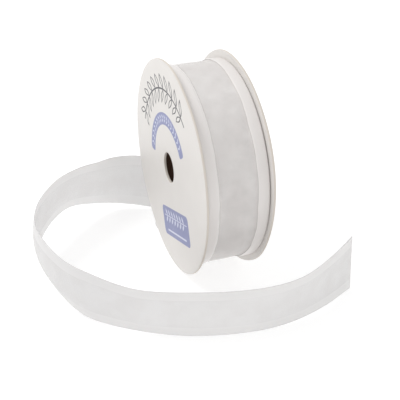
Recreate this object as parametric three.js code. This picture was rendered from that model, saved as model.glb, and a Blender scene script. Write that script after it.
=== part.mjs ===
// A roll of organza ribbon with satin edges, wound on a card spool.
// The spool stands on the rims of its two round flanges. The ribbon's loose end leaves the
// underside of the roll, twists up on to its edge behind the spool, and curls round the left
// side to the front, where it ends in a straight cut.
//
// Millimetres, +Z up. The axle runs along +X. The origin is on the surface that the spool
// stands on, under the middle of the near flange's thickness.

import * as THREE from "three";

// Card spool
const FLANGE_RADIUS = 38.5;
const CARD_THICKNESS = 0.9;
const HUB_HOLE_RADIUS = 5.5;
const FOOT_LENGTH = 6; // the flat spot worn into each rim where the spool stands
const CORE_OUTER_RADIUS = 11;
const CORE_INNER_RADIUS = 9.5;

// Ribbon
const RIBBON_WIDTH = 21.6;
const SATIN_WIDTH = 4; // the closely woven band along each edge
const SEAM_GAP = 0.3; // between pieces that touch on the real spool
const ROLL_RADIUS = 35.7; // over the satin edges
const SHEER_DIP = 0.4; // the sheer middle is thinner, so its turns lie lower
const DIP_SLOPE = 1.5; // width over which the turns go down from satin to sheer
const ROLL_EDGE_ROUND = 0.5;
const ROLL_BORE_RADIUS = CORE_OUTER_RADIUS + SEAM_GAP;
const TAIL_THICKNESS = 1;

// Places along the axle
const FLANGE_GAP = RIBBON_WIDTH + 2 * SEAM_GAP;
const FAR_FLANGE_X = CARD_THICKNESS + FLANGE_GAP;
const SPOOL_MIDDLE_X = FAR_FLANGE_X / 2;
const AXLE_HEIGHT = Math.sqrt(FLANGE_RADIUS ** 2 - (FOOT_LENGTH / 2) ** 2);

// The loose end, from under the roll to its cut end. x and y follow the middle of the
// ribbon's width, lift is the height of its lower edge, and lean is how far the width tips
// from upright towards the inside of the loop, in degrees.
const TAIL = [
  { x: SPOOL_MIDDLE_X, y: 0, lift: 1.8, lean: -90 },
  { x: SPOOL_MIDDLE_X, y: 9, lift: 2.4, lean: -90 },
  { x: 11.5, y: 17, lift: 2, lean: -80 },
  { x: 10.5, y: 24, lift: 0.5, lean: -62 },
  { x: 9.5, y: 30, lift: 0.5, lean: -38 },
  { x: 7, y: 36, lift: 0.5, lean: -8 },
  { x: 0, y: 40.5, lift: 1.5, lean: -8 },
  { x: -9, y: 42, lift: 2.5, lean: 1 },
  { x: -18.5, y: 38, lift: 5.5, lean: 14 },
  { x: -29, y: 31.5, lift: 9, lean: 21 },
  { x: -39.5, y: 22.5, lift: 8.5, lean: 14 },
  { x: -47.5, y: 11.5, lift: 5.5, lean: 6 },
  { x: -49, y: -2, lift: 3.5, lean: -6 },
  { x: -45, y: -18, lift: 2, lean: -8 },
  { x: -38, y: -30, lift: 1.5, lean: -8 },
  { x: -24, y: -41.5, lift: 0.5, lean: -14 },
  { x: -6, y: -49.5, lift: 0, lean: -12.5 },
  { x: 11.5, y: -53.5, lift: 0, lean: -13.5 },
  { x: 25.5, y: -53.5, lift: 0.5, lean: -11 },
  { x: 39.5, y: -49, lift: 1.5, lean: -4 },
  { x: 53, y: -40, lift: 0, lean: 3 },
];
const STEPS_PER_ROW = 4;
const STRIPS_ACROSS = 6;
const LEVEL_EDGE_LEAN = 48; // the lower edge is level where the lean is under this

const ROUND_STEPS = 96;

const card = new THREE.MeshStandardMaterial({ color: 0xe6e2dd, roughness: 0.7 });
const coreCard = new THREE.MeshStandardMaterial({ color: 0x9a7a5c, roughness: 0.9 });
const woundRibbon = new THREE.MeshStandardMaterial({ color: 0xdcdad6, roughness: 0.55 });
const looseRibbon = new THREE.MeshStandardMaterial({ color: 0xe0dfdc, roughness: 0.5 });

function named(name, geometry, material) {
  const mesh = new THREE.Mesh(geometry, material);
  mesh.name = name;
  return mesh;
}

// A card disc in the YZ plane with a punched hub hole and a flat foot, centred on x = 0.
function flangeGeometry() {
  const footAngle = Math.asin(FOOT_LENGTH / 2 / FLANGE_RADIUS);
  const down = -Math.PI / 2;
  const outline = new THREE.Shape();
  outline.absarc(0, 0, FLANGE_RADIUS, down + footAngle, down - footAngle + 2 * Math.PI, false);
  outline.closePath();
  const hole = new THREE.Path();
  hole.absarc(0, 0, HUB_HOLE_RADIUS, 0, 2 * Math.PI, true);
  outline.holes.push(hole);
  const disc = new THREE.ExtrudeGeometry(outline, {
    depth: CARD_THICKNESS,
    bevelEnabled: false,
    curveSegments: ROUND_STEPS / 2,
  });
  // The outline's x and y become the part's y and z, and its depth runs along the axle.
  const toAxle = new THREE.Matrix4().makeBasis(
    new THREE.Vector3(0, 1, 0),
    new THREE.Vector3(0, 0, 1),
    new THREE.Vector3(1, 0, 0),
  );
  disc.translate(0, 0, -CARD_THICKNESS / 2);
  return disc.applyMatrix4(toAxle);
}

// A ring round the axle: outline holds [radius, x] pairs of its closed section.
function ringGeometry(outline) {
  const section = outline.map(([radius, x]) => new THREE.Vector2(radius, x));
  section.push(section[0].clone());
  // A lathe turns about its y axis, which becomes the axle along +X.
  return new THREE.LatheGeometry(section, ROUND_STEPS).rotateZ(-Math.PI / 2);
}

function coreGeometry() {
  const half = RIBBON_WIDTH / 2;
  return ringGeometry([
    [CORE_INNER_RADIUS, -half],
    [CORE_OUTER_RADIUS, -half],
    [CORE_OUTER_RADIUS, half],
    [CORE_INNER_RADIUS, half],
  ]);
}

// The wound turns as one ring. Its outside is highest on the satin bands and dips a little
// over the sheer middle.
function rollGeometry() {
  const half = RIBBON_WIDTH / 2;
  const satinFrom = half - SATIN_WIDTH + DIP_SLOPE / 2;
  const sheerTo = half - SATIN_WIDTH - DIP_SLOPE / 2;
  const oneSide = [
    [ROLL_RADIUS - SHEER_DIP, sheerTo],
    [ROLL_RADIUS, satinFrom],
    [ROLL_RADIUS, half - ROLL_EDGE_ROUND],
    [ROLL_RADIUS - ROLL_EDGE_ROUND / 2, half],
    [ROLL_BORE_RADIUS, half],
  ];
  const otherSide = oneSide.map(([radius, x]) => [radius, -x]).reverse();
  return ringGeometry([...otherSide, ...oneSide]);
}

// One column of the tail's table as a smooth function of t, from 0 at the roll to 1.
function tailColumn(name) {
  const curve = new THREE.SplineCurve(TAIL.map((row, i) => new THREE.Vector2(i, row[name])));
  return (t) => curve.getPoint(t).y;
}

// The loose end: a flat strip carried along the table's path. Across the strip, u runs from
// the lower edge to the upper one, and v is its thickness.
function tailGeometry() {
  const [x, y, lift, lean] = ["x", "y", "lift", "lean"].map(tailColumn);
  const steps = STEPS_PER_ROW * (TAIL.length - 1);
  const strip = new THREE.BoxGeometry(RIBBON_WIDTH, TAIL_THICKNESS, 1, STRIPS_ACROSS, 1, steps);
  const up = new THREE.Vector3(0, 0, 1);
  const flat = strip.attributes.position;
  const small = 1e-3;
  for (let i = 0; i < flat.count; i++) {
    const u = flat.getX(i);
    const v = flat.getY(i);
    const t = flat.getZ(i) + 0.5;
    const before = Math.max(t - small, 0);
    const after = Math.min(t + small, 1);
    const heading = new THREE.Vector3(x(after) - x(before), y(after) - y(before), 0).normalize();
    const inward = up.clone().cross(heading);
    const tip = THREE.MathUtils.degToRad(lean(t));
    const width = up.clone().multiplyScalar(Math.cos(tip)).addScaledVector(inward, Math.sin(tip));
    const face = heading.clone().cross(width);
    // Where the strip stands upright, its lower edge is level, so it rests flat.
    const isLowerEdge = u < -RIBBON_WIDTH / 2 + small;
    const levelCosine = Math.cos(THREE.MathUtils.degToRad(LEVEL_EDGE_LEAN));
    if (isLowerEdge) face.z *= Math.max(1 - Math.cos(tip) / levelCosine, 0);
    const height = Math.max(lift(t), 0) + (RIBBON_WIDTH / 2) * Math.cos(tip);
    const place = new THREE.Vector3(x(t), y(t), height)
      .addScaledVector(width, u)
      .addScaledVector(face, v);
    flat.setXYZ(i, place.x, place.y, place.z);
  }
  return strip;
}

const spool = new THREE.Group();
const flange = flangeGeometry();
const nearFlange = named("flange_near", flange, card);
const farFlange = named("flange_far", flange.clone(), card);
farFlange.position.x = FAR_FLANGE_X;
spool.add(nearFlange, farFlange);

for (const piece of [
  named("core", coreGeometry(), coreCard),
  named("ribbon_roll", rollGeometry(), woundRibbon),
]) {
  piece.position.x = SPOOL_MIDDLE_X;
  spool.add(piece);
}
spool.position.z = AXLE_HEIGHT;

const ribbonOnSpool = new THREE.Group();
ribbonOnSpool.add(spool, named("ribbon_tail", tailGeometry(), looseRibbon));

export default ribbonOnSpool;
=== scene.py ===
# A roll of sheer organza ribbon with satin edges on a white card spool, as it is put together:
# two card flanges glued on a paper core, the ribbon wound between them, and its loose end
# twisted on to its edge and curled round to the front.
import math

import bpy
import numpy as np
from mathutils import Matrix, Vector


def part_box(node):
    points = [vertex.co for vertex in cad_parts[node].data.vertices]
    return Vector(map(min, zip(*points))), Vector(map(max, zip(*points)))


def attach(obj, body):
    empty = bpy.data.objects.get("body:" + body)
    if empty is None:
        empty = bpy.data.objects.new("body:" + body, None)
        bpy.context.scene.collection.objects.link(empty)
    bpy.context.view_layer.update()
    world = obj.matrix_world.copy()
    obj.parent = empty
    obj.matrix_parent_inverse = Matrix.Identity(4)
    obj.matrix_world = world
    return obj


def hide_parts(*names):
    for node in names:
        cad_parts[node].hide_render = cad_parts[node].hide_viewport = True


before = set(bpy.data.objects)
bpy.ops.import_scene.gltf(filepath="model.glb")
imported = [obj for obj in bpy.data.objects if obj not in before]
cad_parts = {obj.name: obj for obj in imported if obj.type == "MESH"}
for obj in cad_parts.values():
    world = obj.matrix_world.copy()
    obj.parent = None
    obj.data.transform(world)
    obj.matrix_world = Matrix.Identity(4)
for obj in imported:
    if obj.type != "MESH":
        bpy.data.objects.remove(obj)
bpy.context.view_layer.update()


# Camera
# It looks down on the spool from the near flange's side, about 0.3 m from the axle, with the
# axle above the middle of the picture.
near_low, near_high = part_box("flange_near")
far_low, far_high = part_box("flange_far")
FLANGE_RADIUS = (near_high.y - near_low.y) / 2
AXLE_HEIGHT = near_high.z - FLANGE_RADIUS
AXLE_MIDDLE = Vector(((near_low.x + far_high.x) / 2, 0, AXLE_HEIGHT))
LOOK_DOWN = math.radians(30.07)
LOOK_FROM_LEFT = math.radians(20.28)
CAMERA_DISTANCE = 0.300
CAMERA_LEFT = 0.0002
CAMERA_BELOW = 0.01355
SENSOR_WIDTH_MM = 36
LENS_MM = 75.3

forward = Vector((
    math.sin(LOOK_FROM_LEFT) * math.cos(LOOK_DOWN),
    math.cos(LOOK_FROM_LEFT) * math.cos(LOOK_DOWN),
    -math.sin(LOOK_DOWN),
))
right = Vector((math.cos(LOOK_FROM_LEFT), -math.sin(LOOK_FROM_LEFT), 0))
up = right.cross(forward)
camera_place = AXLE_MIDDLE - forward * CAMERA_DISTANCE - right * CAMERA_LEFT - up * CAMERA_BELOW
camera_turn = Matrix((right, up, -forward)).transposed().to_4x4()
camera_data = bpy.data.cameras.new("camera")
camera_data.sensor_width = SENSOR_WIDTH_MM
camera_data.lens = LENS_MM
camera_data.clip_start = 0.005
camera = bpy.data.objects.new("camera", camera_data)
camera.matrix_world = Matrix.Translation(camera_place) @ camera_turn
bpy.context.scene.collection.objects.link(camera)
bpy.context.scene.camera = camera


# Flanges
# Two round discs of smooth warm white card, punched with a hub hole and cut with a slightly
# crushed rim that shows the raw cream core of the card. The near one carries the blue print.
# Each is a little warped, and stands on a flat worn into its rim.
HUB_HOLE_RADIUS = 0.0055
RIM_ROUND = 0.00028
HUB_ROUND = 0.0001
STEPS_ROUND_FLANGE = 240
STEPS_OUTWARD = 16
STEPS_PER_CORNER = 3


def grid_piece(name, points, around=False, closed=False, u=None, v=None):
    """A mesh object from a rows-by-columns grid of points, with quads between neighbours.

    around joins the last row to the first, and closed the last column to the first. u and v
    are the map's values at the rows and columns, with one more where that way is joined.
    Faces point along the step from row to row crossed with the step from column to column.
    """
    rows, columns = points.shape[:2]
    row_steps, column_steps = rows - (not around), columns - (not closed)
    u = np.linspace(0, 1, row_steps + 1) if u is None else u
    v = np.linspace(0, 1, column_steps + 1) if v is None else v
    i, j = np.meshgrid(np.arange(row_steps), np.arange(column_steps), indexing="ij")
    corners = [(i, j), (i + 1, j), (i + 1, j + 1), (i, j + 1)]
    quads = np.stack([(a % rows) * columns + b % columns for a, b in corners], -1).reshape(-1, 4)
    places = np.stack([np.stack([u[a], v[b]], -1) for a, b in corners], -2).reshape(-1, 2)
    mesh = bpy.data.meshes.new(name)
    mesh.from_pydata(points.reshape(-1, 3), [], quads.tolist())
    mesh.uv_layers.new(name="map").data.foreach_set("uv", places.ravel())
    mesh.polygons.foreach_set("use_smooth", np.ones(len(quads), bool))
    piece = bpy.data.objects.new(name, mesh)
    bpy.context.scene.collection.objects.link(piece)
    return piece


def full_turn(steps):
    """The turns of a closed ring's rows, in radians: equal steps from 0, short of a whole turn."""
    return np.linspace(0, 2 * np.pi, steps, endpoint=False)


def round_axle(x, radius, turn):
    """Rows of points on circles about the axle, one row for each turn from the top.

    y is less the radius times the turn's sine, and z is the axle's height plus the radius
    times its cosine.
    """
    x, radius, turn = np.broadcast_arrays(x, radius, turn[:, None])
    return np.stack([x, -radius * np.sin(turn), AXLE_HEIGHT + radius * np.cos(turn)], -1)


def flange_points(low_x, high_x, warp=0.0, warp_turn=0.0, dents=()):
    """A card disc: a flat washer whose corners are quarter circles.

    It is bent sideways by a two-lobed wave that grows with the square of the radius. Each dent
    (turn from the top in degrees, half width in degrees, depth) presses the rim in by a bell
    curve of the turn, fading inwards with the fourth power of the radius. The lowest points
    are pressed level on the surface it stands on.
    """
    outward = np.linspace(HUB_HOLE_RADIUS + HUB_ROUND, FLANGE_RADIUS - RIM_ROUND, STEPS_OUTWARD)
    quarter = np.linspace(0, np.pi / 2, STEPS_PER_CORNER + 1)

    def face(radius, x):
        """A straight run of the profile, all at one x."""
        return np.stack([radius, np.full(len(radius), x)], 1)

    def corner(radius, x, start, soft):
        """A quarter circle of radius soft about (radius, x), from the angle start."""
        angle = start + quarter
        return np.stack([radius + soft * np.cos(angle), x + soft * np.sin(angle)], 1)

    profile = np.concatenate([
        face(outward[1:-1], low_x),
        corner(outward[-1], low_x + RIM_ROUND, -np.pi / 2, RIM_ROUND),
        corner(outward[-1], high_x - RIM_ROUND, 0, RIM_ROUND),
        face(outward[-2:0:-1], high_x),
        corner(outward[0], high_x - HUB_ROUND, np.pi / 2, HUB_ROUND),
        corner(outward[0], low_x + HUB_ROUND, np.pi, HUB_ROUND),
    ])
    points = round_axle(profile[:, 1], profile[:, 0], full_turn(STEPS_ROUND_FLANGE))
    y, z = points[..., 1], points[..., 2] - AXLE_HEIGHT
    share = np.hypot(y, z) / FLANGE_RADIUS
    turn = np.degrees(np.arctan2(-y, z))
    pressed = sum(depth * np.exp(-((turn - at) / half)**2) for at, half, depth in dents)
    kept = 1 - pressed / FLANGE_RADIUS * share**4
    bent = warp * share**2 * np.cos(2 * np.arctan2(y, z) + warp_turn)
    return np.stack([points[..., 0] + bent, y * kept, np.maximum(AXLE_HEIGHT + z * kept, 0)], -1)


def add(tree, kind, inputs=None, **settings):
    """Adds a shader node with its settings, and gives its inputs numbers, colours or sockets."""
    made = tree.nodes.new("ShaderNode" + kind)
    for key, value in settings.items():
        setattr(made, key, value)
    for key, value in (inputs or {}).items():
        if isinstance(value, bpy.types.NodeSocket):
            tree.links.new(value, made.inputs[key])
        else:
            made.inputs[key].default_value = value
    return made


def calc(tree, operation, *values):
    """The output of one Math node."""
    return add(tree, "Math", dict(enumerate(values)), operation=operation).outputs[0]


def blend(tree, share, first, second):
    """Two colours mixed by share."""
    first, second = (
        colour if isinstance(colour, bpy.types.NodeSocket) else (*colour, 1)
        for colour in (first, second)
    )
    inputs = {"Factor": share, 6: first, 7: second}
    return add(tree, "Mix", inputs, data_type="RGBA").outputs[2]


def soften(tree, value, start, end, low=0.0, high=1.0):
    """low up to start and high past end, with a smooth change between."""
    inputs = {"Value": value, "From Min": start, "From Max": end, "To Min": low, "To Max": high}
    return add(tree, "MapRange", inputs, interpolation_type="SMOOTHSTEP").outputs[0]


def shader_group(name, inputs, outputs):
    """A new node group with float inputs and their defaults, or vectors where None."""
    tree = bpy.data.node_groups.new(name, "ShaderNodeTree")
    for key, value in inputs.items():
        kind = "NodeSocketVector" if value is None else "NodeSocketFloat"
        made = tree.interface.new_socket(key, in_out="INPUT", socket_type=kind)
        if value is not None:
            made.default_value = value
    for key in outputs:
        tree.interface.new_socket(key, in_out="OUTPUT", socket_type="NodeSocketFloat")
    return tree, tree.nodes.new("NodeGroupInput").outputs, tree.nodes.new("NodeGroupOutput").inputs


def place_group(tree, group, inputs):
    """A copy of a node group in a material, with its own values. Returns its outputs."""
    made = add(tree, "Group", node_tree=group)
    for key, value in inputs.items():
        if isinstance(value, bpy.types.NodeSocket):
            tree.links.new(value, made.inputs[key])
        else:
            made.inputs[key].default_value = value
    return made.outputs


def new_material(name, **surface):
    """A material with one Principled surface. Returns it with its node tree and that surface."""
    material = bpy.data.materials.new(name)
    material.use_nodes = True
    tree = material.node_tree
    principled = tree.nodes["Principled BSDF"]
    for key, value in surface.items():
        principled.inputs[key.replace("_", " ")].default_value = value
    return material, tree, principled


def about_axle(tree, place, tilt=0.0):
    """The X, Y and Z of a place measured from the axle, on axes turned about it by tilt."""
    centred = add(tree, "Mapping", {
        "Vector": place, "Location": (0, 0, AXLE_HEIGHT), "Rotation": (-tilt, 0, 0),
    }, vector_type="TEXTURE")
    return add(tree, "SeparateXYZ", {"Vector": centred.outputs[0]}).outputs


# Paper fibre: short matted fibres and a cloudy sheet, for the card and the tube alike.
fibre, take, give = shader_group(
    "paper_fibre", {"Place": None, "Fibre scale": 900.0, "Cloud scale": 120.0}, ["Height", "Cloud"]
)
fine = add(fibre, "TexNoise", {
    "Vector": take["Place"], "Scale": take["Fibre scale"], "Detail": 5.0, "Roughness": 0.65,
})
cloud = add(fibre, "TexNoise", {
    "Vector": take["Place"], "Scale": take["Cloud scale"], "Detail": 3.0,
})
fibre.links.new(fine.outputs["Fac"], give["Height"])
fibre.links.new(cloud.outputs["Fac"], give["Cloud"])

# Printed marks, as masks. Along and Across are metres along a mark's line and out from it.
PRINT_EDGE = 0.00007

# A band with rounded corners: within Corner of a straight box that is Corner smaller all round.
printed_band, take, give = shader_group(
    "printed_band",
    {"Along": 0.0, "Across": 0.0, "Half length": 0.01, "Thickness": 0.004, "Corner": 0.0005},
    ["Mask"],
)
half_thickness = calc(printed_band, "MULTIPLY", take["Thickness"], 0.5)
past_squared = []
for way, half in (("Along", take["Half length"]), ("Across", half_thickness)):
    straight = calc(printed_band, "SUBTRACT", half, take["Corner"])
    past = calc(printed_band, "SUBTRACT", calc(printed_band, "ABSOLUTE", take[way]), straight)
    past = calc(printed_band, "MAXIMUM", past, 0.0)
    past_squared.append(calc(printed_band, "MULTIPLY", past, past))
past = calc(printed_band, "SQRT", calc(printed_band, "ADD", *past_squared))
inside = calc(printed_band, "SUBTRACT", take["Corner"], past)
printed_band.links.new(soften(printed_band, inside, -PRINT_EDGE, PRINT_EDGE), give["Mask"])

# A row of leaves on both sides of a line. A leaf is as wide as a half wave of the way out, and
# leans along the line by Slant. Line is the pen's width, or more than a leaf for filled leaves.
# Past its tip the half wave turns negative, and is held there from LEAF_END on.
LEAF_END = 1.2
printed_leaves, take, give = shader_group(
    "printed_leaves",
    {"Along": 0.0, "Across": 0.0, "Half length": 0.02, "Pitch": 0.004, "Reach": 0.004,
     "Fullness": 0.001, "Slant": 0.6, "Line": 1.0},
    ["Mask"],
)
out = calc(printed_leaves, "ABSOLUTE", take["Across"])
slanted = calc(printed_leaves, "MULTIPLY", out, take["Slant"])
foot = calc(printed_leaves, "SUBTRACT", take["Along"], slanted)
stem = calc(printed_leaves, "ROUND", calc(printed_leaves, "DIVIDE", foot, take["Pitch"]))
stem = calc(printed_leaves, "MULTIPLY", stem, take["Pitch"])
aside = calc(printed_leaves, "ABSOLUTE", calc(printed_leaves, "SUBTRACT", foot, stem))
way_out = calc(printed_leaves, "DIVIDE", out, take["Reach"])
way_out = calc(printed_leaves, "MINIMUM", way_out, LEAF_END)
half_wave = calc(printed_leaves, "SINE", calc(printed_leaves, "MULTIPLY", way_out, math.pi))
half_leaf = calc(printed_leaves, "MULTIPLY", half_wave, take["Fullness"])
inside = calc(printed_leaves, "SUBTRACT", half_leaf, aside)
whole = soften(printed_leaves, inside, -PRINT_EDGE, PRINT_EDGE)
within = calc(printed_leaves, "SUBTRACT", inside, take["Line"])
hollow = soften(printed_leaves, within, -PRINT_EDGE, PRINT_EDGE)
left = calc(printed_leaves, "SUBTRACT", take["Half length"], calc(printed_leaves, "ABSOLUTE", stem))
row = soften(printed_leaves, left, -PRINT_EDGE, PRINT_EDGE)
drawn = calc(printed_leaves, "MULTIPLY", calc(printed_leaves, "SUBTRACT", whole, hollow), row)
printed_leaves.links.new(drawn, give["Mask"])

CARD_WHITE = (0.725, 0.699, 0.672)
CARD_CLOUDED = (0.695, 0.669, 0.642)
CARD_RAW = (0.73, 0.675, 0.61)
PLY_DARKNESS = 0.88
CARD_ROUGHNESS = 0.38
CLOUD_ROUGHNESS = 0.16
RAW_ROUGHNESS = 0.4
CUT_SHARE = 0.3
PRINT_BLUE = (0.23, 0.25, 0.44)
PRINT_GREY = (0.05, 0.05, 0.06)
PRINT_PALE = (0.62, 0.64, 0.76)
PRINT_TILT = math.radians(19.4)
INK_IN_HOLLOWS = 0.82

# Each mark: its ink, its kind, the line it follows, and its own sizes. An arc has this radius
# about the hub. A straight line runs level, this far above the hub.
ARC, STRAIGHT = "arc", "straight"
MARKS = [
    (PRINT_GREY, printed_band, ARC, 0.0283,
     {"Half length": 0.0275, "Thickness": 0.0006, "Corner": 0.0003}),
    (PRINT_GREY, printed_leaves, ARC, 0.0283,
     {"Half length": 0.0240, "Pitch": 0.0047, "Reach": 0.0052, "Fullness": 0.0014, "Line": 0.0006}),
    (PRINT_BLUE, printed_band, ARC, 0.0176,
     {"Half length": 0.0225, "Thickness": 0.0044, "Corner": 0.0012}),
    (PRINT_PALE, printed_leaves, ARC, 0.0176,
     {"Half length": 0.0195, "Pitch": 0.0024, "Reach": 0.0014, "Fullness": 0.00045}),
    (PRINT_BLUE, printed_band, STRAIGHT, -0.0212,
     {"Half length": 0.0150, "Thickness": 0.0112, "Corner": 0.0020}),
    (PRINT_PALE, printed_leaves, STRAIGHT, -0.0192,
     {"Half length": 0.0112, "Pitch": 0.0032, "Reach": 0.0026, "Fullness": 0.00075}),
    (PRINT_PALE, printed_band, STRAIGHT, -0.0192,
     {"Half length": 0.0130, "Thickness": 0.00035, "Corner": 0.00015}),
    (PRINT_PALE, printed_band, STRAIGHT, -0.0248,
     {"Half length": 0.0110, "Thickness": 0.0007, "Corner": 0.0003}),
]


def print_marks(tree, place, solid, colour, marks):
    """The card's colour with each mark's ink over it, as densely as solid, on a tilted print.

    On an arc, the place along it is the angle times its radius, and the place across it is
    the distance from the hub less its radius.
    """
    parts = about_axle(tree, place, PRINT_TILT)
    flat = add(tree, "CombineXYZ", {"Y": parts["Y"], "Z": parts["Z"]}).outputs[0]
    from_hub = add(tree, "VectorMath", {0: flat}, operation="LENGTH").outputs["Value"]
    angle = calc(tree, "ARCTAN2", parts["Y"], parts["Z"])
    for ink, shape, kind, line, sizes in marks:
        along = calc(tree, "MULTIPLY", angle, line) if kind == ARC else parts["Y"]
        across = calc(tree, "SUBTRACT", from_hub if kind == ARC else parts["Z"], line)
        mask = place_group(tree, shape, {"Along": along, "Across": across, **sizes})["Mask"]
        colour = blend(tree, calc(tree, "MULTIPLY", mask, solid), colour, ink)
    return colour


def card_material(name, marks=()):
    """Coated white card, cream where it is cut, with the printed marks on its face.

    The ink is a little thinner in the hollows between the fibres, and the cut shows the fine
    dark lines of the card's plies.
    """
    material, tree, surface = new_material(name)
    place = add(tree, "TexCoord").outputs["Object"]
    paper = place_group(tree, fibre, {"Place": place, "Fibre scale": 1400.0, "Cloud scale": 90.0})
    colour = blend(tree, paper["Cloud"], CARD_WHITE, CARD_CLOUDED)
    if marks:
        solid = soften(tree, paper["Height"], 0.2, 0.5, INK_IN_HOLLOWS, 1.0)
        colour = print_marks(tree, place, solid, colour, marks)
    raw = add(tree, "Attribute", attribute_name="raw_edge").outputs["Fac"]
    plies = add(tree, "Mapping", {"Vector": place, "Scale": (9000, 300, 300)}).outputs[0]
    plies = add(tree, "TexNoise", {"Vector": plies, "Scale": 1.0}).outputs["Fac"]
    raw_colour = blend(tree, plies, CARD_RAW, tuple(PLY_DARKNESS * c for c in CARD_RAW))
    tree.links.new(blend(tree, raw, colour, raw_colour), surface.inputs["Base Color"])
    coated = calc(tree, "MULTIPLY_ADD", paper["Cloud"], CLOUD_ROUGHNESS, CARD_ROUGHNESS)
    roughness = calc(tree, "MULTIPLY_ADD", raw, RAW_ROUGHNESS, coated)
    tree.links.new(roughness, surface.inputs["Roughness"])
    bump = add(tree, "Bump", {"Height": paper["Height"], "Strength": 0.12, "Distance": 0.00005})
    tree.links.new(bump.outputs[0], surface.inputs["Normal"])
    return material


def flange(name, node, low_x, high_x, material, **wear):
    """One card disc in place of its plain solid, with the middle of its cut edges marked raw."""
    points = flange_points(low_x, high_x, **wear)
    piece = grid_piece(name, points, around=True, closed=True)
    unworn = flange_points(low_x, high_x)
    from_axle = np.hypot(unworn[..., 1], unworn[..., 2] - AXLE_HEIGHT)
    on_rim = from_axle > FLANGE_RADIUS - CUT_SHARE * RIM_ROUND
    in_hole = from_axle < HUB_HOLE_RADIUS + CUT_SHARE * HUB_ROUND
    raw_edge = piece.data.attributes.new("raw_edge", "FLOAT", "POINT")
    raw_edge.data.foreach_set("value", (on_rim | in_hole).ravel().astype(float))
    piece.data.materials.append(material)
    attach(piece, "root")
    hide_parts(node)


flange(
    "near_flange", "flange_near", near_low.x, near_high.x, card_material("printed card", MARKS),
    warp=0.00012, warp_turn=0.4, dents=[(27, 14, 0.0006), (-150, 12, 0.0003)],
)
flange(
    "far_flange", "flange_far", far_low.x, far_high.x, card_material("plain card"),
    warp=0.00020, warp_turn=2.2,
    dents=[(108, 26, 0.0009), (148, 14, 0.0004), (-12, 16, -0.0004), (40, 14, 0.0002)],
)


# Core
# A spiral-wound tube of raw brown paper between the flanges, wider inside than the hub holes,
# so it shows through them as a dark chamber. Its browns are painted darker than the paper's
# own, as painted shade for its unlit inside.
core_low, core_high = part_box("core")
CORE_OUTER_RADIUS = (core_high.y - core_low.y) / 2
CORE_WALL = 0.0015
CORE_ROWS = 12
STEPS_ROUND_CORE = 96
SPIRAL_LEAD = 0.018
SEAM_WIDTH = 0.02
SEAM_DARKNESS = 0.6
# Both browns are painted darker than kraft paper: painted shade for the tube's unlit inside.
KRAFT_IN_PAINTED_SHADE = (0.20, 0.115, 0.07)
KRAFT_DARK_IN_PAINTED_SHADE = (0.13, 0.07, 0.045)

wall = np.linspace(core_low.x, core_high.x, CORE_ROWS)
core_x = np.concatenate([wall[::-1], wall])
core_radius = np.repeat([CORE_OUTER_RADIUS - CORE_WALL, CORE_OUTER_RADIUS], CORE_ROWS)
core_points = round_axle(core_x, core_radius, full_turn(STEPS_ROUND_CORE))
core = grid_piece("core_tube", core_points, around=True, closed=True)
core.data.set_sharp_from_angle(angle=math.radians(40))

# The spiral seam is where a turn's share and the way along the axle, in leads, add up to a
# whole number and a half.
kraft, tree, surface = new_material("brown paper in painted shade", Roughness=0.85)
place = add(tree, "TexCoord").outputs["Object"]
paper = place_group(tree, fibre, {"Place": place, "Fibre scale": 1100.0, "Cloud scale": 260.0})
parts = about_axle(tree, place)
turn_share = calc(tree, "DIVIDE", calc(tree, "ARCTAN2", parts["Y"], parts["Z"]), 2 * math.pi)
leads = calc(tree, "FRACT", calc(tree, "MULTIPLY_ADD", parts["X"], 1 / SPIRAL_LEAD, turn_share))
from_seam = calc(tree, "ABSOLUTE", calc(tree, "SUBTRACT", leads, 0.5))
seam = soften(tree, from_seam, 0.0, SEAM_WIDTH, 1.0, 0.0)
colour = blend(tree, paper["Cloud"], KRAFT_IN_PAINTED_SHADE, KRAFT_DARK_IN_PAINTED_SHADE)
colour = blend(tree, calc(tree, "MULTIPLY", seam, SEAM_DARKNESS), colour, KRAFT_DARK_IN_PAINTED_SHADE)
tree.links.new(colour, surface.inputs["Base Color"])
height = calc(tree, "SUBTRACT", paper["Height"], seam)
bump = add(tree, "Bump", {"Height": height, "Strength": 0.5, "Distance": 0.0001})
tree.links.new(bump.outputs[0], surface.inputs["Normal"])
core.data.materials.append(kraft)
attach(core, "root")
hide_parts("core")


# Wound ribbon
# The turns of white organza under the outermost one, wound on the core and built as one ring.
# Their thick satin edges stand a little higher than the sheer middle, and the whole winding
# lies a little nearer the far flange.
roll_low, roll_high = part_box("ribbon_roll")
RIBBON_WIDTH = roll_high.x - roll_low.x
ROLL_RADIUS = (roll_high.y - roll_low.y) / 2
CORE_CLEARANCE = 0.0003
SATIN_WIDTH = 0.004
SHEER_DIP = 0.0004
DIP_FROM = 0.8 * SATIN_WIDTH
DIP_SLOPE = 0.4 * SATIN_WIDTH
SLACK = 0.00016
LUMP_HEIGHT = 0.00005
# Each wave of lumps: its size, its waves round the roll, its slant across it, and its start.
LUMP_WAVES = [(1.0, 5, 3.0, 0.7), (0.7, 9, -7.0, 2.1), (0.5, 17, 11.0, 4.0)]
OUTER_TURN_DEPTH = 0.0002
WOUND_ASIDE = 0.00019
STEPS_ROUND_ROLL = 480
STEPS_ACROSS = 40


def eased(share):
    """A smooth step from 0 to 1: three times the square less twice the cube."""
    share = np.clip(share, 0, 1)
    return share * share * (3 - 2 * share)


def lumps(turn, u):
    """The unevenness of the wound surface in metres, none at the ribbon's edges.

    It sums sine waves that run slantwise round the roll, and fades them towards the edges by
    a half wave across it.
    """
    waves = sum(
        size * np.sin(around * turn + slant * u + start)
        for size, around, slant, start in LUMP_WAVES
    )
    return LUMP_HEIGHT * waves * np.sin(np.pi * u)


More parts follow.
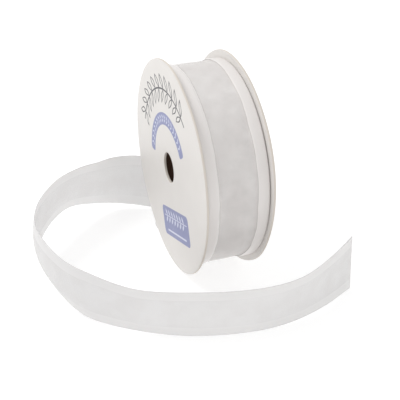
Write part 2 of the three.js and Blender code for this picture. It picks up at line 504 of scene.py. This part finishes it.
def winding_rise(turn, u):
    """How far the wound surface stands off a plain roll, at u from 0 to 1 across its width.

    The winding is slack by a cosine of the turn, most at the top and none at the bottom. Its
    sheer middle dips by an eased step in from each edge, and lumps go over all of it.
    """
    slack = SLACK * (1 + np.cos(turn))
    from_edge = np.minimum(u, 1 - u) * RIBBON_WIDTH
    return slack + lumps(turn, u) - SHEER_DIP * eased((from_edge - DIP_FROM) / DIP_SLOPE)


across = np.linspace(0, 1, STEPS_ACROSS + 1)
turn = full_turn(STEPS_ROUND_ROLL)
wound_outside = ROLL_RADIUS - OUTER_TURN_DEPTH + winding_rise(turn[:, None], across)
wound_inside = np.full((STEPS_ROUND_ROLL, 2), CORE_OUTER_RADIUS + CORE_CLEARANCE)
wound_x = roll_low.x + WOUND_ASIDE + RIBBON_WIDTH * across
wound_points = round_axle(
    np.append(wound_x, wound_x[[-1, 0]]), np.concatenate([wound_outside, wound_inside], 1), turn
)
wound_map = np.append(across, [1, 0, 0])
wound = grid_piece("wound_turns", wound_points, around=True, closed=True, v=wound_map)
wound.data.set_sharp_from_angle(angle=math.radians(50))

# Organza: fine plain weave in the middle and dense satin at both edges. Place is metres along
# and across the ribbon. Threads are cosine waves of the place, which a slow noise shifts by up
# to half of WEAVE_WOBBLE. Another noise moves the satin's inner edge by up to half of Wander.
# Shade is the middle's cloudiness. Hidden is how much the ribbon hides of what lies behind it:
# Gap cover between threads, Thread cover on them, both a little mottled, and most in the satin.
WEAVE_PITCH = 0.00032
SATIN_PITCH = 0.00018
WEAVE_WOBBLE = 0.0004
SATIN_FADE = 0.0004
SATIN_HEIGHT = 0.35
CLOUD_SHARE = 0.4
COVER_SATIN = 0.95
COVER_MOTTLE = 0.10
organza, take, give = shader_group(
    "organza",
    {"Place": None, "Width": RIBBON_WIDTH, "Satin": SATIN_WIDTH, "Wander": 0.001,
     "Gap cover": 0.5, "Thread cover": 0.8},
    ["Satin", "Height", "Shade", "Hidden"],
)
wobble = add(organza, "TexNoise", {"Vector": take["Place"], "Scale": 60.0, "Detail": 2.0})
shift = add(organza, "VectorMath", {
    0: wobble.outputs["Color"], 1: (0.5, 0.5, 0.5),
}, operation="SUBTRACT")
shift = add(organza, "VectorMath", {0: shift.outputs[0], "Scale": WEAVE_WOBBLE}, operation="SCALE")
moved = add(organza, "VectorMath", {0: take["Place"], 1: shift.outputs[0]}, operation="ADD")
moved = add(organza, "SeparateXYZ", {"Vector": moved.outputs[0]}).outputs
still = add(organza, "SeparateXYZ", {"Vector": take["Place"]}).outputs


def threads(position, pitch):
    """A wave from 0 to 1 that repeats every pitch."""
    wave = calc(organza, "COSINE", calc(organza, "MULTIPLY", position, 2 * math.pi / pitch))
    return calc(organza, "MULTIPLY_ADD", wave, 0.5, 0.5)


weave = calc(organza, "MAXIMUM", threads(moved["X"], WEAVE_PITCH), threads(moved["Y"], WEAVE_PITCH))
edge_noise = add(organza, "TexNoise", {"Vector": take["Place"], "Scale": 110.0, "Detail": 1.0})
edge_shift = calc(organza, "SUBTRACT", edge_noise.outputs["Fac"], 0.5)
edge_shift = calc(organza, "MULTIPLY", edge_shift, take["Wander"])
half_width = calc(organza, "MULTIPLY", take["Width"], 0.5)
from_middle = calc(organza, "ABSOLUTE", calc(organza, "SUBTRACT", still["Y"], half_width))
from_edge = calc(organza, "ADD", calc(organza, "SUBTRACT", half_width, from_middle), edge_shift)
past_satin = calc(organza, "SUBTRACT", from_edge, take["Satin"])
satin = soften(organza, past_satin, -SATIN_FADE, SATIN_FADE, 1.0, 0.0)
rib = calc(organza, "MULTIPLY_ADD", threads(moved["Y"], SATIN_PITCH), 0.5, SATIN_HEIGHT)
height = add(organza, "Mix", {"Factor": satin, "A": weave, "B": rib})
mottle = add(organza, "TexNoise", {
    "Vector": take["Place"], "Scale": 170.0, "Detail": 3.0, "Roughness": 0.6,
}).outputs["Fac"]
clouds = add(organza, "TexNoise", {"Vector": take["Place"], "Scale": 75.0, "Detail": 1.0})
clouds = calc(organza, "MULTIPLY", clouds.outputs["Fac"], CLOUD_SHARE)
shade = calc(organza, "MULTIPLY_ADD", mottle, 1 - CLOUD_SHARE, clouds)
threaded = calc(organza, "MAXIMUM", satin, weave)
cover = soften(organza, threaded, 0.1, 0.9, take["Gap cover"], take["Thread cover"])
cover = calc(organza, "SUBTRACT", cover, COVER_MOTTLE / 2)
cover = calc(organza, "MULTIPLY_ADD", mottle, COVER_MOTTLE, cover)
dense = soften(organza, satin, 0.35, 0.65)
hidden = add(organza, "Mix", {"Factor": dense, "A": cover, "B": COVER_SATIN})
organza.links.new(satin, give["Satin"])
organza.links.new(height.outputs[0], give["Height"])
organza.links.new(soften(organza, shade, 0.38, 0.62), give["Shade"])
organza.links.new(hidden.outputs[0], give["Hidden"])

# The roll's whites are painted lighter than the loose end's whites of the same organza: painted
# light, standing in for the light that scatters between the stacked turns under the outermost one.
ROLL_WHITES_PAINTED_LIGHTER = {
    "sheer": (0.853, 0.836, 0.823), "shaded": (0.785, 0.757, 0.746), "satin": (0.835, 0.802, 0.782),
}
LENGTH_ROUND_ROLL = 2 * math.pi * ROLL_RADIUS
SHEER_ROUGHNESS = 0.6
SATIN_ROUGHNESS = 0.34


def ribbon_material(name, length, whites, weave, see_through=True, **surface_values):
    """White organza with satin edges, whose shine runs across its long floating threads.

    length is the ribbon's, which sets the weave's scale. whites are the sheer middle's two
    cloudy whites and the satin's. weave holds the organza group's own values here.
    """
    material, tree, surface = new_material(
        name, Anisotropic=0.75, Anisotropic_Rotation=0.25, Specular_IOR_Level=0.6, **surface_values
    )
    tangent = add(tree, "Tangent", direction_type="UV_MAP", uv_map="map").outputs[0]
    tree.links.new(tangent, surface.inputs["Tangent"])
    place = add(tree, "UVMap", uv_map="map").outputs[0]
    place = add(tree, "Mapping", {"Vector": place, "Scale": (length, RIBBON_WIDTH, 1)}).outputs[0]
    cloth = place_group(tree, organza, {"Place": place, **weave})
    sheer = blend(tree, cloth["Shade"], whites["sheer"], whites["shaded"])
    colour = blend(tree, cloth["Satin"], sheer, whites["satin"])
    tree.links.new(colour, surface.inputs["Base Color"])
    roughness = soften(tree, cloth["Satin"], 0.0, 1.0, SHEER_ROUGHNESS, SATIN_ROUGHNESS)
    tree.links.new(roughness, surface.inputs["Roughness"])
    bump = add(tree, "Bump", {"Height": cloth["Height"], "Strength": 0.35, "Distance": 0.00003})
    tree.links.new(bump.outputs[0], surface.inputs["Normal"])
    if see_through:
        tree.links.new(cloth["Hidden"], surface.inputs["Alpha"])
    return material


# The turns below show wider and more uneven satin, since each lies a little aside from the next.
wound.data.materials.append(ribbon_material(
    "wound organza", LENGTH_ROUND_ROLL, ROLL_WHITES_PAINTED_LIGHTER,
    {"Satin": 1.12 * SATIN_WIDTH, "Wander": 0.0022}, see_through=False,
))
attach(wound, "root")
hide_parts("ribbon_roll")


# Outermost turn
# The last turn of sheer ribbon, with the turns under it showing through its middle. It lies on
# the satin edges, sinks into the softer middle, and passes into the loose end at the bottom.
TURN_CLEARANCE = 0.00008
CLOTH_THICKNESS = 0.00014
STEPS_PER_TURN = 360

share = np.linspace(0, 1, STEPS_PER_TURN + 1)
turn = np.pi * (2 * share - 1)
plain_radius = ROLL_RADIUS - OUTER_TURN_DEPTH + TURN_CLEARANCE + OUTER_TURN_DEPTH / 2 * share
turn_radius = plain_radius[:, None] + winding_rise(turn[:, None], across)
outer_turn = grid_piece("outer_turn", round_axle(wound_x, turn_radius, turn))


def give_thickness(piece):
    """A real thickness on both sides of a cloth's middle surface."""
    thick = piece.modifiers.new("cloth thickness", "SOLIDIFY")
    thick.thickness = CLOTH_THICKNESS
    thick.offset = 0


give_thickness(outer_turn)
outer_turn.data.materials.append(ribbon_material(
    "outer turn organza", LENGTH_ROUND_ROLL, ROLL_WHITES_PAINTED_LIGHTER,
    {"Wander": 0.0009, "Gap cover": 0.16, "Thread cover": 0.25},
))
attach(outer_turn, "root")


# Loose end
# The last stretch of the same organza, held only by the turn that it comes from. It leaves the
# roll at the bottom towards the back, twists a quarter turn on to its edge, and curls round the
# left side to a straight cut end.
middle_x = AXLE_MIDDLE.x
# Each row: x and y of the middle of its width, the height of its lower edge, and its lean from
# upright in degrees.
LOOSE_END = np.array([
    (middle_x, 0.0000, 0.0026, -90),
    (middle_x, 0.0090, 0.0028, -90),
    (0.0115, 0.0170, 0.0020, -80),
    (0.0105, 0.0240, 0.0005, -62),
    (0.0095, 0.0300, 0.0005, -38),
    (0.0070, 0.0360, 0.0005, -8),
    (0.0000, 0.0405, 0.0015, -8),
    (-0.0090, 0.0420, 0.0025, 1),
    (-0.0185, 0.0380, 0.0055, 14),
    (-0.0290, 0.0315, 0.0090, 21),
    (-0.0395, 0.0225, 0.0085, 14),
    (-0.0475, 0.0115, 0.0055, 6),
    (-0.0490, -0.0020, 0.0035, -6),
    (-0.0450, -0.0180, 0.0020, -8),
    (-0.0380, -0.0300, 0.0015, -8),
    (-0.0240, -0.0415, 0.0005, -14),
    (-0.0060, -0.0495, 0.0000, -12.5),
    (0.0115, -0.0535, 0.0000, -13.5),
    (0.0255, -0.0535, 0.0005, -11),
    (0.0395, -0.0490, 0.0015, -4),
    (0.0530, -0.0400, 0.0000, 3),
])
STEPS_PER_ROW = 16
LEAVING_LENGTH = 0.006
RIPPLE_HEIGHT = 0.00012
RIPPLE_LENGTH = 0.0061
RIPPLE_SLANT = 2.2
SWELL_LENGTH = 0.017
SWELL_START = 1.3
CUP_ROW = 12.3
CUP_DEPTH = 0.0018
CUP_REACH = 0.022
WHITES_LOOSE = {
    "sheer": (0.725, 0.715, 0.710), "shaded": (0.675, 0.660, 0.655), "satin": (0.655, 0.643, 0.637),
}


def smooth_rows(rows, steps):
    """A smooth curve through the rows, one cubic a gap.

    Its slope at a row is half the difference of the row's neighbours. The first and last rows
    count as their own neighbours.
    """
    padded = np.concatenate([rows[:1], rows, rows[-1:]])
    t = np.arange((len(rows) - 1) * steps + 1) / steps
    k = np.minimum(t.astype(int), len(rows) - 2)
    f = (t - k)[:, None]
    before, start, end, after = (padded[k + i] for i in range(4))
    slope_in, slope_out = (end - before) / 2, (after - start) / 2
    return (
        start * (2 * f**3 - 3 * f**2 + 1) + end * (3 * f**2 - 2 * f**3)
        + slope_in * (f**3 - 2 * f**2 + f) + slope_out * (f**3 - f**2)
    )


def upright_strip(rows):
    """The middle line, width direction and face direction of the loose end at each step.

    The heading is the level direction from each step to the next. The width tips from upright
    by the lean, towards the left of the heading, and the face is square to both. The middle
    stands above the lower edge by half the width times the lean's cosine.
    """
    x, y, lift, lean = rows.T
    lean = np.radians(lean)
    heading = np.gradient(np.stack([x, y], 1), axis=0)
    heading /= np.linalg.norm(heading, axis=1, keepdims=True)
    heading = np.column_stack([heading, np.zeros(len(x))])
    left = np.column_stack([-heading[:, 1], heading[:, 0], np.zeros(len(x))])
    width = np.sin(lean)[:, None] * left
    width[:, 2] = np.cos(lean)
    middle = np.column_stack([x, y, np.maximum(lift, 0) + RIBBON_WIDTH / 2 * np.cos(lean)])
    return middle, width, np.cross(heading, width)


middle, width, face = upright_strip(smooth_rows(LOOSE_END, STEPS_PER_ROW))
length = np.append(0, np.cumsum(np.linalg.norm(np.diff(middle, axis=0), axis=1)))
LOOSE_LENGTH = length[-1]
along = length[:, None]

# It still sinks like the roll's turns where it leaves them, and is free after LEAVING_LENGTH,
# where a short slanting sine wave ripples it, stronger and weaker by a longer one.
leaving = eased(1 - along / LEAVING_LENGTH)
ripple = RIPPLE_HEIGHT * np.sin(along / RIPPLE_LENGTH + RIPPLE_SLANT * across)
ripple = ripple * np.sin(along / SWELL_LENGTH + SWELL_START)
# Round the tight left turn the ribbon cups: its middle bows outwards and its edges draw in, as
# a parabola across it that grows and fades along it by a bell curve.
from_cup = along - length[int(CUP_ROW * STEPS_PER_ROW)]
cup = CUP_DEPTH * np.exp(-(from_cup / CUP_REACH)**2) * (0.5 - 4 * (across - 0.5)**2)
raised = leaving * winding_rise(np.pi, across) + (1 - leaving) * ripple + cup
aside = np.broadcast_to((across - 0.5) * RIBBON_WIDTH, raised.shape)
points = middle[:, None] + width[:, None] * aside[..., None] + face[:, None] * raised[..., None]
points[..., 2] = np.maximum(points[..., 2], CLOTH_THICKNESS / 2)
loose = grid_piece("loose_end", points, u=length / LOOSE_LENGTH)
give_thickness(loose)

# A little light passes through it from behind.
loose.data.materials.append(ribbon_material(
    "loose organza", LOOSE_LENGTH, WHITES_LOOSE,
    {"Wander": 0.0005, "Gap cover": 0.72, "Thread cover": 0.92},
    Subsurface_Weight=0.75, Subsurface_Radius=(0.001, 0.001, 0.001), Subsurface_Scale=1.0,
))
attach(loose, "root")
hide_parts("ribbon_tail")


# Studio
# A plain white floor under a bright even sky, with one large soft light above it at the left
# and a little behind the spool.
FLOOR_HALF = 1.5
sides = (-FLOOR_HALF, FLOOR_HALF)
floor = grid_piece("floor", np.array([[(x, y, 0) for y in sides] for x in sides]))
floor_material, tree, surface = new_material(
    "white floor", Base_Color=(0.48, 0.48, 0.48, 1), Roughness=0.9, Specular_IOR_Level=0.1,
    Emission_Color=(1, 1, 1, 1), Emission_Strength=0.66,
)
floor.data.materials.append(floor_material)

world = bpy.data.worlds.new("studio")
bpy.context.scene.world = world
world.use_nodes = True
sky = world.node_tree.nodes["Background"].inputs
sky["Color"].default_value = (1, 1, 1, 1)
sky["Strength"].default_value = 0.78

KEY_PLACE = Vector((-0.36, 0.19, 0.61))
KEY_AIM = Vector((0, 0, 0.03))
key_data = bpy.data.lights.new("key", "AREA")
key_data.energy = 1.85
key_data.size = 0.3
key = bpy.data.objects.new("key", key_data)
key.location = KEY_PLACE
key.rotation_euler = (KEY_AIM - KEY_PLACE).to_track_quat("-Z", "Y").to_euler()
bpy.context.scene.collection.objects.link(key)
bpy.context.scene.view_settings.view_transform = "Standard"
